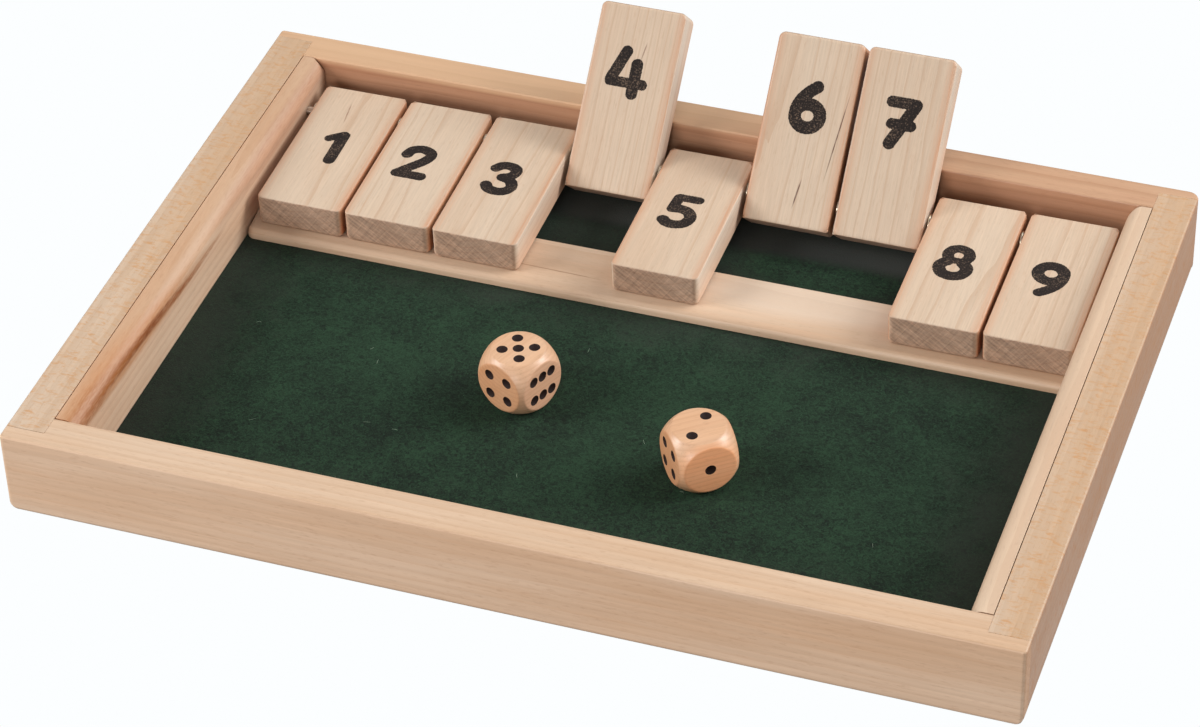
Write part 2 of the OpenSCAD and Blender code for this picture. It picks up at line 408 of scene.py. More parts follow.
class Timber:
    """The material of one board while it is made."""

    # Cells per metre along the grain and across it: across, the trunk's and the fibres' unit is 1 mm,
    # while vessels are dashes of 2.4 by 0.4 mm and flecks lie across the grain, 1 by 3 mm
    TRUNK = (120, 1000, 1000)
    FIBRES = (32, 1000, 1000)
    VESSELS = (420, 2600, 2600)
    FLECKS = (950, 330, 330)
    # A wave of scale 1 comes round every 0.314 units
    WAVE = 0.314
    # The saw went over the ends in two directions, and left marks of 1 by 16 mm
    SAW_TURNS = (-52, 35)
    SAW_MARK = (1, 0.001, 0.016)

    def __init__(self, wood: Hardwood, board: Board, name: str) -> None:
        """Lays the board's own axes and the patterns that several tones share.

        Args:
            wood: the finish.
            board: how the piece was cut.
            name: the material's name.
        """
        self.wood = wood
        self.board = board
        self.nodes = Nodes(name)
        self.add = add = self.nodes.add
        self.local = add("Mapping", (add("TexCoord", out="Object"), Vector(board.origin) * MM,
                                     board.turn.to_euler()), vector_type="TEXTURE")
        along = add("Mapping", {0: self.local, 1: (board.seed, board.seed * 3, 0), 3: self.FIBRES})
        pores = add("Mapping", {0: self.local, 1: (0, board.seed * 5, board.seed), 3: self.VESSELS})
        self.fibres = add("TexNoise", {
            "Vector": along, "Scale": 1 / wood.fibre_mm, "Detail": 5.0, "Roughness": 0.62})
        self.vessels = add("TexNoise", {"Vector": pores, "Scale": 1.0, "Detail": 1.5, "Roughness": 0.5})
        self.colour: Any = srgb(wood.pale)

    def make(self) -> bpy.types.Material:
        """Lays the tones one over the other, and the lacquer over them.

        Returns:
            The material.
        """
        add, wood = self.add, self.wood
        self._draw_grain()
        self._tone_sides()
        ends, saw = self._show_end_grain()
        for mark in self.board.marks:
            self._draw_mark(mark)
        height = add("Math", (self.fibres, saw), operation="ADD")
        bump = add("Bump", {"Height": height, "Strength": 0.4, "Distance": 0.06 * MM})
        gloss = add("MapRange", (self.fibres, 0.3, 0.7, wood.roughness - 0.05, wood.roughness + 0.08))
        dull = add("Math", (ends, 0.25, gloss), operation="MULTIPLY_ADD")
        return self.nodes.finish(add("BsdfPrincipled", {
            "Base Color": self.colour, "Roughness": dull, "Normal": bump, "Coat Weight": wood.coat,
            "Coat Roughness": wood.coat_roughness}))

    def _draw_grain(self) -> None:
        """Draws the broad hue, the growth rings, the vessels, the flecks and the fibres' sheen."""
        add, wood, board = self.add, self.wood, self.board
        tilt = (0, math.radians(board.tilt[0]), math.radians(board.tilt[1]))
        trunk = add("Mapping", (self.local, (board.seed * 7.3, *board.pith), tilt, self.TRUNK))
        broad = add("TexNoise", {"Vector": trunk, "Scale": 0.06, "Detail": 3.0, "Roughness": 0.6})
        rings = add("TexWave", {
            "Vector": trunk, "Scale": self.WAVE / wood.ring_mm, "Distortion": 3.2, "Detail": 3.0,
            "Detail Scale": 0.7, "Detail Roughness": 0.55}, "Fac", wave_type="RINGS", rings_direction="X",
            wave_profile="SAW")
        lines = add("MapRange", (rings, wood.ring_from, 0.98, 0, wood.ring_strength),
                    interpolation_type="SMOOTHSTEP")
        patchy = add("MapRange", (self.fibres, 0.3, 0.7, 0.35))
        tones = [
            (add("MapRange", (broad, 0.36, 0.64)), wood.warm),
            (add("Math", (lines, patchy), operation="MULTIPLY"), wood.ring),
            (add("MapRange", (self.vessels, 0.58, 0.75, 0, wood.vessel_strength)), wood.vessel),
        ]
        if wood.fleck_strength:
            # The fibres' curl catches the light in short flecks
            across = add("Mapping", {0: self.local, 1: (board.seed, 0, 0), 3: self.FLECKS})
            curl = add("TexNoise", {
                "Vector": across, "Scale": 1.0, "Detail": 4.0, "Roughness": 0.7, "Distortion": 0.8})
            tones.append((add("MapRange", (curl, 0.5, 0.68, 0, wood.fleck_strength)), wood.fleck))
        for share, tone in tones:
            self.colour = add("Mix", {0: share, 6: self.colour, 7: srgb(tone)}, 2, data_type="RGBA")
        sheen = add("MapRange", (self.fibres, 0.25, 0.75, 1 - wood.fibre_strength, 1 + wood.fibre_strength))
        self.colour = add("HueSaturation", {"Value": sheen, "Color": self.colour})

    def _facing(self, axis: int, low: float, high: float, curve: str = "LINEAR") -> Any:
        """Finds how squarely each face looks along one of the board's axes.

        Args:
            axis: 0 along the grain, 1 across it, 2 out of the best face.
            low: the cosine that counts as not at all.
            high: the cosine that counts as wholly.
            curve: how the share runs between them.

        Returns:
            The share, from 0 to 1.
        """
        cosine = self.add("VectorMath", (self.add("TexCoord", out="Normal"), self.board.turn.col[axis]),
                          "Value", operation="DOT_PRODUCT")
        square_on = self.add("Math", (cosine,), operation="ABSOLUTE")
        return self.add("MapRange", (square_on, low, high), interpolation_type=curve)

    def _tone_sides(self) -> None:
        """Paints warm shade along the wide faces' long edges, and paints light and shade onto the two narrow
        long faces as tints.
        """
        add, wood, board = self.add, self.wood, self.board
        # Painted shade: a warm, darker tone along the long edges of the wide faces
        if wood.painted_edge_shade and board.half_width:
            away = add("Math", (add("SeparateXYZ", (self.local,), 1),), operation="ABSOLUTE")
            start, full = (board.half_width - 3.0) * MM, (board.half_width - 0.2) * MM
            share = add("MapRange", (away, start, full, 0, wood.painted_edge_shade),
                        interpolation_type="SMOOTHSTEP")
            uneven = add("MapRange", (self.fibres, 0.35, 0.65, 0.3, 1.2))
            for factor in (uneven, self._facing(2, 0.45, 0.85)):
                share = add("Math", (share, factor), operation="MULTIPLY")
            self.colour = add("Mix", {0: share, 6: self.colour, 7: srgb(wood.edge)}, 2, data_type="RGBA")
        # Painted light and shade: the board's tints on its narrow long faces, the second one growing towards
        # their bottom
        tints: list[tuple[Any, Place]] = [(1.0, board.painted_flank_light_and_shade)]
        if board.painted_low_flank_shade:
            low = add("MapRange", (add("SeparateXYZ", (self.local,), 2), 2.5 * MM, -4.0 * MM))
            tints.append((low, board.painted_low_flank_shade))
        painted_flank_colour = self.colour
        for amount, tint in tints:
            painted_flank_colour = add("Mix", {0: amount, 6: painted_flank_colour, 7: (*tint, 1.0)}, 2, data_type="RGBA",
                         blend_type="MULTIPLY")
        painted_flank_light_and_shade = self._facing(1, 0.55, 0.95)
        self.colour = add("Mix", {0: painted_flank_light_and_shade, 6: self.colour, 7: painted_flank_colour}, 2, data_type="RGBA")

    def _show_end_grain(self) -> tuple[Any, Any]:
        """Darkens the faces that cut the grain across, and scores them with the saw.

        Returns:
            The share of end grain, and the saw marks' height.
        """
        add, wood = self.add, self.wood
        ends = self._facing(0, 0.62, 0.93, "SMOOTHSTEP")
        strokes = []
        for angle in self.SAW_TURNS:
            slant = add("Mapping", {0: self.local, 2: (math.radians(angle), 0, 0), 3: self.SAW_MARK},
                        vector_type="TEXTURE")
            strokes.append(add("TexNoise", {"Vector": slant, "Scale": 1.6, "Detail": 3.0, "Roughness": 0.7}))
        saw = add("Mix", {0: 0.4, 2: strokes[0], 3: strokes[1]})
        height = add("Math", (saw, wood.saw_strength), operation="MULTIPLY")
        height = add("Math", (height, ends), operation="MULTIPLY")
        shade = add("MapRange", (saw, 0.37, 0.63, 1 - 0.36 * wood.saw_strength, 1 + 0.28 * wood.saw_strength))
        browner = add("Mix", {0: 1.0, 6: self.colour, 7: srgb(wood.end)}, 2, data_type="RGBA",
                      blend_type="MULTIPLY")
        scored = add("HueSaturation", {"Value": shade, "Color": browner})
        self.colour = add("Mix", {0: ends, 6: self.colour, 7: scored}, 2, data_type="RGBA")
        return ends, height

    def _draw_mark(self, mark: Mark) -> None:
        """Draws one streak, or one patch of painted light or shade, into the board, broken up where the
        vessels are.

        Args:
            mark: the streak or the painted patch.
        """
        add = self.add
        turn = (0, math.radians(mark.pitch), math.radians(mark.turn))
        own = add("Mapping", (self.local, Vector((mark.x, mark.y, mark.z)) * MM, turn,
                              Vector((mark.length, mark.width, mark.deep)) / 2 * MM), vector_type="TEXTURE")
        inside = add("TexGradient", (own,), "Fac", gradient_type="SPHERICAL")
        core = add("MapRange", (inside, 0, 0.45, 0, mark.strength))
        gaps = add("MapRange", (self.vessels, 0.35, 0.62, 1 - mark.broken))
        share = add("Math", (core, gaps), operation="MULTIPLY")
        self.colour = add("Mix", {0: share, 6: self.colour, 7: srgb(mark.colour)}, 2, data_type="RGBA")


@dataclass(frozen=True)
class WoolFelt:
    """Dyed wool, pressed into felt.

    It gives a dull, slightly fuzzy green with short crossed fibres and cloudy patches. Painted shade greys
    it along the walls and under the tiles, but for one painted lit patch; a paler grey under the tiles is
    painted light.
    """

    deep: str = "#151A17"
    bright: str = "#263C2B"
    fuzz: str = "#486A52"
    # Painted shade: the grey along the walls and under the tiles
    wall_shade_grey: str = "#2A2A28"
    sheen: str = "#3A6A46"
    open_x: float = 96.0
    open_y: Point = (-66.0, 18.0)
    # Painted light: a paler grey in the shade under the tiles, fading in between these two places to the back
    under_tile_painted_light: str = "#414141"
    under_tile_painted_light_y: Point = (51.5, 57.0)
    # Painted light: a patch kept clear of the painted shade where tiles 6 and 7 stand raised
    painted_lit_patch_at: Place = (38.5, 48.5, 6.1)
    painted_lit_patch_half: Place = (30.0, 9.0, 9.0)

    def dress(self, piece: Piece) -> None:
        """Gives a piece this finish.

        Args:
            piece: the felt.
        """
        nodes = Nodes("wool_felt")
        add = nodes.add
        place = add("TexCoord", out="Object")
        clouds = add("TexNoise", {"Vector": place, "Scale": 80.0, "Detail": 5.0, "Roughness": 0.65})
        # Fibres of a few tenths of a millimetre, drawn about twice as coarse as real wool
        tufts = add("TexNoise", {
            "Vector": place, "Scale": 1100.0, "Detail": 4.0, "Roughness": 0.7, "Distortion": 1.2})
        ends = add("TexNoise", {"Vector": place, "Scale": 1700.0, "Detail": 2.0, "Distortion": 2.5})
        both = add("Math", (tufts, 2.3, clouds), operation="MULTIPLY_ADD")
        back = add("SeparateXYZ", (place,), 1)
        colour: Any = srgb(self.deep)
        for share, tone in (
            (add("MapRange", (both, 1.34, 1.96)), self.bright),
            # Painted shade along the walls and under the tiles, and painted light in the shade under the
            # tiles
            (self._near_walls(add, place, clouds), self.wall_shade_grey),
            (add("MapRange", (back, self.under_tile_painted_light_y[0] * MM, self.under_tile_painted_light_y[1] * MM, 0, 0.9),
                 interpolation_type="SMOOTHSTEP"), self.under_tile_painted_light),
            (add("MapRange", (ends, 0.66, 0.8, 0, 0.5)), self.fuzz),
        ):
            colour = add("Mix", {0: share, 6: colour, 7: srgb(tone)}, 2, data_type="RGBA")
        bump = add("Bump", {"Height": tufts, "Strength": 0.7, "Distance": 0.25 * MM})
        piece.data.materials.append(nodes.finish(add("BsdfPrincipled", {
            "Base Color": colour, "Roughness": 0.95, "Specular IOR Level": 0.15, "Sheen Weight": 0.6,
            "Sheen Roughness": 0.4, "Sheen Tint": srgb(self.sheen), "Normal": bump})))

    def _near_walls(self, add: Callable[..., Any], place: Any, clouds: Any) -> Any:
        """Finds the painted shade that greys the felt along the walls and under the tiles, but for one
        painted lit patch.

        Args:
            add: adds a node to the material.
            place: the Object coordinates.
            clouds: the pattern that makes its edge uneven.

        Returns:
            The share of painted shade.
        """
        middle, half = sum(self.open_y) / 2 * MM, (self.open_y[1] - self.open_y[0]) / 2 * MM
        across = add("Math", (add("SeparateXYZ", (place,), 0),), operation="ABSOLUTE")
        along = add("Math", (add("SeparateXYZ", (place,), 1), middle), operation="SUBTRACT")
        along = add("Math", (along,), operation="ABSOLUTE")
        past_x = add("Math", (across, self.open_x * MM), operation="SUBTRACT")
        past_y = add("Math", (along, half), operation="SUBTRACT")
        past = add("Math", (past_x, past_y), operation="MAXIMUM")
        uneven = add("Math", (clouds, 0.05, past), operation="MULTIPLY_ADD")
        painted_wall_shade = add("MapRange", (uneven, 0.012, 0.036, 0, 0.65), interpolation_type="SMOOTHSTEP")
        # Painted light: the lit patch where tiles 6 and 7 stand raised is kept clear of the painted shade
        around = add("Mapping", {0: place, 1: Vector(self.painted_lit_patch_at) * MM, 3: Vector(self.painted_lit_patch_half) * MM},
                     vector_type="TEXTURE")
        painted_lit_patch = add("TexGradient", (around,), "Fac", gradient_type="SPHERICAL")
        left = add("MapRange", (painted_lit_patch, 0, 0.5, 1.0, -0.15))
        return add("Math", (painted_wall_shade, left), operation="MULTIPLY", use_clamp=True)


@dataclass(frozen=True)
class DrawnSteel:
    """Bright drawn steel wire or stamped sheet: grey metal with fine lines along the draw."""

    name: str
    colour: str = "#C8C0B6"
    roughness: float = 0.26

    def dress(self, piece: Piece) -> None:
        """Gives a piece this finish.

        Args:
            piece: the rod or the washers.
        """
        nodes = Nodes(self.name)
        add = nodes.add
        # Lines a quarter of a millimetre apart, drawn out along X
        drawn = add("Mapping", {0: add("TexCoord", out="Object"), 3: (60, 4000, 4000)})
        lines = add("TexNoise", {"Vector": drawn, "Scale": 1.0, "Detail": 3.0})
        dull = add("MapRange", (lines, 0, 1, self.roughness - 0.1, self.roughness + 0.12))
        tone = add("MapRange", (lines, 0, 1, 0.85, 1.1))
        colour = add("HueSaturation", {"Value": tone, "Color": srgb(self.colour)})
        piece.data.materials.append(nodes.finish(add("BsdfPrincipled", {
            "Base Color": colour, "Roughness": dull, "Metallic": 1.0})))


@dataclass(frozen=True)
class Paint:
    """Ink or paint on bare wood: near black, with specks where the grain didn't take it."""

    name: str
    colour: str
    speck: str
    specks: float
    roughness: float

    def make(self) -> bpy.types.Material:
        """Makes the material.

        Returns:
            The material.
        """
        nodes = Nodes(self.name)
        add = nodes.add
        place = add("TexCoord", out="Object")
        # Specks of about a quarter of a millimetre
        spots = add("TexNoise", {"Vector": place, "Scale": 2600.0, "Detail": 2.0, "Roughness": 0.6})
        wear = add("TexNoise", {"Vector": place, "Scale": 160.0, "Detail": 2.0})
        both = add("Math", (wear, 0.35, spots), operation="MULTIPLY_ADD")
        bare = add("MapRange", (both, 0.79 - 0.1 * self.specks, 0.86, 0, self.specks))
        colour = add("Mix", {0: bare, 6: srgb(self.colour), 7: srgb(self.speck)}, 2, data_type="RGBA")
        return nodes.finish(add("BsdfPrincipled", {
            "Base Color": colour, "Roughness": self.roughness, "Specular IOR Level": 0.25}))


@dataclass(frozen=True)
class Finishes:
    """Every finish of the tray."""

    rail: Hardwood = Hardwood("rail_maple", "#D1B69C", "#C9A788", "#AE8460", end="#EFE2DB", ring_mm=1.9,
                              ring_strength=0.24, coat=0.06)
    side: Hardwood = Hardwood("side_maple", "#C9B29B", "#C0A081", "#A58160", ring_strength=0.25, coat=0.06,
                              fleck_strength=0.6)
    back: Hardwood = Hardwood("back_maple", "#C39D7D", "#B6896A", "#976946", end="#FFF4EA", coat=0.1)
    liner: Hardwood = Hardwood("liner_maple", "#D3B79A", "#C8A484", "#B28764", coat=0.08)
    strip: Hardwood = Hardwood("strip_maple", "#D3B89E", "#C7A588", "#AF8562", coat=0.12)
    tile: Hardwood = Hardwood("tile_maple", "#CAB49D", "#C6AC93", "#A87C5A", vessel="#A87C5C", end="#D8CAC5",
                              ring_mm=1.9, ring_from=0.75, fibre_mm=0.4, fibre_strength=0.1, edge="#C08560",
                              painted_edge_shade=0.6, roughness=0.5, coat=0.05, saw_strength=1.0)
    panel: Hardwood = Hardwood("panel_birch", "#DCC29C", "#CFAE82", "#B98F63", ring_mm=6.0, coat=0.0)
    die: Hardwood = Hardwood("die_maple", "#D9B393", "#D2A27B", "#B98562", end="#EDDAC8", ring_mm=1.2,
                             ring_strength=0.35, roughness=0.38, coat=0.25, coat_roughness=0.25)
    felt: WoolFelt = WoolFelt()
    rod: DrawnSteel = DrawnSteel("drawn_steel")
    washer: DrawnSteel = DrawnSteel("stamped_steel", "#EBDFC9", 0.24)
    ink: Paint = Paint("number_ink", "#1E1613", "#806A58", 0.6, 0.75)
    pips: Paint = Paint("pip_paint", "#1F0F0C", "#4A291C", 0.25, 0.7)


# ---------------------------------------------------------------- the tray


@dataclass
class Tray:
    """The four rails with lapped corners, the bottom panel, the two liners and the rest strip."""

    width: float = 250.0
    depth: float = 176.0
    height: float = 23.2
    side_t: float = 10.0
    front_t: float = 10.0
    back_t: float = 9.6
    front_skin: float = 4.2
    back_skin: float = 3.0
    corner_r: float = 1.0
    edge_r: float = 0.6
    inner_r: float = 0.5
    foot_r: float = 1.6
    end_foot_r: float = 3.0
    worn_corner_r: float = 2.9
    worn_play: float = 0.1
    lap_r: float = 0.1
    crack_r: float = 0.14
    panel_t: float = 5.0
    panel_r: float = 0.2
    panel_lip: float = 5.0
    panel_play: float = 0.15
    liner_t: float = 5.8
    liner_r: float = 3.6
    liner_play: float = 0.1
    strip_y: Point = (20.7, 39.1)
    strip_t: float = 2.6
    strip_play: float = 0.15
    strip_corner_r: float = 2.5
    strip_front_r: float = 1.6
    strip_back_r: float = 0.4
    felt_t: float = 1.1
    cracks: tuple[Point, Point] = ((0.05, 0.03), (0.015, 0.05))
    liner_crack: float = 0.25
    rod: Point = (65.75, 15.15)
    bore_r: float = 1.27
    rail_core: float = 5.0
    liner_core: float = 3.0
    # Painted light and shade on the back rail: a paler patch over the left part of its top is painted light,
    # and a dark red-brown band low on its inner face behind the left tiles is painted shade
    back_painted_light_and_shade: tuple[Mark, ...] = (
        Mark(-62, 0, 190, 60, 0, "#DDB992", 0.5, 0.1, 11.6, 4),
        Mark(-78, -5, 115, 6, 0, "#5A3524", 0.6, 0.1, -4, 24),
    )
    # The first two marks paint red-brown shade over the left liner's top and rounding, along its whole length
    # and at the back; the others draw a red-brown streak along the rounding at the front
    left_liner_streaks_and_painted_shade: tuple[Mark, ...] = (
        Mark(20, -1.5, 300, 30, 0, "#B5835F", 0.4, 0.15, 3, 7),
        Mark(52, -3, 110, 9, 0, "#A2694A", 0.5, 0.2, 0.4, 7),
        Mark(-50, -3, 110, 16, 0, "#B9743C", 0.6, 0.2, 0.4, 8, 3),
        Mark(-8, -3, 40, 12, 0, "#9A5C34", 0.6, 0.5, -2.8, 2.2, 1),
        Mark(-32, -3, 58, 12, 0, "#8F5028", 0.8, 0.45, -0.9, 3.2, 5),
        Mark(-52, -3, 62, 12, 0, "#8A4C26", 0.78, 0.4, 0.2, 3.0, 2),
        Mark(-64, -3, 54, 12, 0, "#A0622E", 0.62, 0.5, 1.6, 3.6, 4),
        Mark(-75, -3, 34, 12, 0, "#96582E", 0.62, 0.45, -0.3, 2.6, 4),
    )
    right_liner_marks: tuple[Mark, ...] = (Mark(0, 0, 600, 60, 0, "#D3C2B0", 0.22, 0.1),)
    strip_marks: tuple[Mark, ...] = (
        Mark(-27.0, -2.0, 30, 0.5, -1.2, "#8A6244", 0.75, 0.35),
        Mark(37, 4, 78, 17, 0, "#DBCBBA", 0.45, 0.2),
        Mark(-24, -3, 46, 16, 0, "#A88262", 0.3, 0.2),
    )

    @property
    def side_in(self) -> float:
        """Inner face of the right rail."""
        return self.width / 2 - self.side_t

    @property
    def front_in(self) -> float:
        """Inner face of the front rail."""
        return -self.depth / 2 + self.front_t

    @property
    def back_in(self) -> float:
        """Inner face of the back rail."""
        return self.depth / 2 - self.back_t

    @property
    def liner_in(self) -> float:
        """Inner face of the right liner."""
        return self.side_in - self.liner_play - self.liner_t - self.liner_play

    def build(self, finishes: Finishes) -> list[Piece]:
        """Builds and dresses every wooden piece that doesn't move.

        Args:
            finishes: the tray's finishes.

        Returns:
            The pieces.
        """
        made = (
            (self._cross_rail("front_rail_wood", -1), finishes.rail),
            (self._cross_rail("back_rail_wood", 1), finishes.back),
            (self._side_rail("left_rail_wood", -1), finishes.side),
            (self._side_rail("right_rail_wood", 1), finishes.side),
            (self._liner("left_liner_wood", -1), finishes.liner),
            (self._liner("right_liner_wood", 1), finishes.liner),
            (self._rest_strip(), finishes.strip),
            (self._panel(), finishes.panel),
        )
        boards = self._boards()
        for piece, finish in made:
            finish.dress(piece, boards[piece.name])
        return [piece for piece, _ in made]

    def _boards(self) -> dict[str, Board]:
        """Says how each piece was cut from its log.

        Returns:
            Each piece's board, by the piece's name.
        """
        mid_z, along_y = self.height / 2, turned("Z", 90)
        rail_x = self.side_in + self.rail_core
        liner_x, liner_z = self.liner_in + self.liner_core, self.height - self.liner_core
        # The tints on the long faces are painted light and shade: shade on both side rails and the back rail,
        # light on the front rail and on the left liner
        side: dict[str, Any] = {"turn": along_y, "pith": (12, -33), "tilt": (2, 1),
                                "painted_flank_light_and_shade": (0.86, 0.74, 0.70)}
        liner: dict[str, Any] = {"turn": along_y, "pith": (4, -26), "tilt": (-2.5, 1)}
        return {
            "front_rail_wood": Board((0, self.front_in - self.rail_core, mid_z), pith=(-26, -30),
                                     tilt=(2.5, 1), seed=3.1, painted_flank_light_and_shade=(1.1, 1.06, 1.05)),
            "back_rail_wood": Board((0, self.back_in + self.rail_core, mid_z), pith=(20, -42), tilt=(-3, 0),
                                    seed=8.4, marks=self.back_painted_light_and_shade, painted_flank_light_and_shade=(0.95, 0.85, 0.83)),
            "left_rail_wood": Board((-rail_x, 0, mid_z), seed=5.2, **side),
            "right_rail_wood": Board((rail_x, 0, mid_z), seed=6.9, **side),
            "left_liner_wood": Board((-liner_x, 0, liner_z), seed=1.7, marks=self.left_liner_streaks_and_painted_shade,
                                     painted_flank_light_and_shade=(1.14, 1.14, 1.2), **liner),
            "right_liner_wood": Board((liner_x, 0, liner_z), seed=4.4, marks=self.right_liner_marks, **liner),
            "rest_strip_wood": Board((0, 29.9, 7.4), pith=(3, -55), tilt=(3, 2), seed=2.6,
                                     marks=self.strip_marks),
            "base_panel_wood": Board((0, 0, 2.5), pith=(10, -90), tilt=(6, 0), seed=9.3),
        }

    def _cross_rail(self, name: str, side: int) -> Piece:
        """Builds the front or the back rail, notched for the side rails' ends.

        Args:
            name: the piece's name.
            side: -1 for the front, 1 for the back.

        Returns:
            The rail.
        """
        inner, outer = (self.front_in if side < 0 else self.back_in), side * self.depth / 2
        top, ends = self.height, self.width / 2
        rail = block(name, (-ends, min(inner, outer), 0), (ends, max(inner, outer), top))
        step = outer - side * (self.front_skin if side < 0 else self.back_skin)
        for end in (-1, 1):
            x = sorted((end * self.side_in, end * (ends + OVER)))
            y = sorted((step, inner - side * OVER))
            carve(rail, block("notch", (x[0], y[0], -OVER), (x[1], y[1], top + OVER)))
        carve(rail, self._panel_pocket())

        def share(m: Vector, d: Vector) -> float:
            """Gives an edge of the tray's outline its share; the back right corner is worn round.

            Args:
                m: the edge's middle.
                d: its direction.

            Returns:
                Its share of end_foot_r.
            """
            worn = side > 0 and min(m.x - ends, m.y - outer) >= -self.worn_corner_r - NEAR
            out = abs(m.y - outer) < NEAR or (abs(m.x) > ends - NEAR and abs(m.y - step) > NEAR)
            if not (out or worn):
                return 0
            if lies(d, 2):
                radius = 0 if worn else self.corner_r
            elif m.z > top / 2:
                radius = self.edge_r
            elif worn:
                along = (outer - m.y) / self.worn_corner_r
                radius = self.foot_r + (self.worn_corner_r - self.worn_play - self.foot_r) * along
            else:
                radius = self.foot_r if lies(d, 0) else self.end_foot_r
            return radius / self.end_foot_r

        if side > 0:
            ease(rail, self.worn_corner_r,
                 lambda m, d: lies(d, 2) and m.x > ends - NEAR and m.y > outer - NEAR, 8)
        ease(rail, self.end_foot_r, share, 6)
        ease(rail, self.inner_r, lambda m, d: m.z > top - NEAR and abs(m.y - inner) < NEAR)
        ease(rail, self.lap_r, lambda m, d: m.z > top - NEAR and abs(m.x) > self.side_in - NEAR
             and min(abs(m.y - step), abs(abs(m.x) - self.side_in)) < NEAR, 2)
        return smooth(rail)

    def _side_rail(self, name: str, side: int) -> Piece:
        """Builds the left or the right rail, whose ends fill the notches.

        Args:
            name: the piece's name.
            side: -1 for the left, 1 for the right.

        Returns:
            The rail.
        """
        top, out = self.height, self.width / 2
        x = sorted((side * self.side_in, side * out))
        front, back = self.cracks[0 if side < 0 else 1]
        rail = block(name, (x[0], self.front_skin + front - self.depth / 2, 0),
                     (x[1], self.depth / 2 - self.back_skin - back, top))
        carve(rail, self._panel_pocket())
        ease(rail, self.end_foot_r, lambda m, d: abs(m.x) > out - NEAR and lies(d, 1)
             and (self.edge_r / self.end_foot_r if m.z > top / 2 else 1), 6)
        ease(rail, self.crack_r, lambda m, d: m.z > top - NEAR and abs(m.x) < self.side_in + NEAR, 2)
        return smooth(rail)

    def _panel_pocket(self) -> Piece:
        """Builds what the bottom panel's rebate takes out of a rail.

        Returns:
            The cutter.
        """
        lip = self.panel_lip
        return block("pocket", (-self.side_in - lip, self.front_in - lip, -OVER),
                     (self.side_in + lip, self.back_in + lip, self.panel_t))

    def _panel(self) -> Piece:
        """Builds the bottom panel.

        Returns:
            The panel.
        """
        reach = self.panel_lip - self.panel_play
        panel = block("base_panel_wood", (-self.side_in - reach, self.front_in - reach, 0),
                      (self.side_in + reach, self.back_in + reach, self.panel_t))
        ease(panel, self.panel_r, lambda m, d: m.z < 0.1, 2)
        return panel

    def _liner(self, name: str, side: int) -> Piece:
        """Builds the left or the right liner, with its rounded inner edge and the rod's bore.

        Args:
            name: the piece's name.
            side: -1 for the left, 1 for the right.

        Returns:
            The liner.
        """
        top = self.height
        x = sorted((side * self.liner_in, side * (self.liner_in + self.liner_t)))
        liner = block(name, (x[0], self.front_in + self.liner_play, self.panel_t),
                      (x[1], self.back_in - self.liner_crack, top))
        carve(liner, bar("bore", self.bore_r, x[0] - OVER, x[1] + OVER, *self.rod))
        ease(liner, self.crack_r,
             lambda m, d: lies(d, 1) and m.z > top - NEAR and abs(m.x) > self.liner_in + 0.1, 2)
        ease(liner, self.liner_r, lambda m, d: m.z > top - NEAR and abs(abs(m.x) - self.liner_in) < NEAR, 12)
        return smooth(liner)

    def _rest_strip(self) -> Piece:
        """Builds the strip under the tiles' free ends, with a rounded front edge and front corners.

        Returns:
            The strip.
        """
        reach, low = self.liner_in - self.strip_play, self.panel_t + self.felt_t
        front, back = self.strip_y
        top = low + self.strip_t
        strip = block("rest_strip_wood", (-reach, front, low), (reach, back, top))
        ease(strip, self.strip_corner_r, lambda m, d: lies(d, 2) and abs(m.y - front) < NEAR, 8)
        ease(strip, self.strip_front_r,
             lambda m, d: m.z > top - NEAR and m.y < front + self.strip_corner_r, 6)
        ease(strip, self.strip_back_r, lambda m, d: m.z > top - NEAR and abs(m.y - back) < NEAR, 3)
        return smooth(strip)


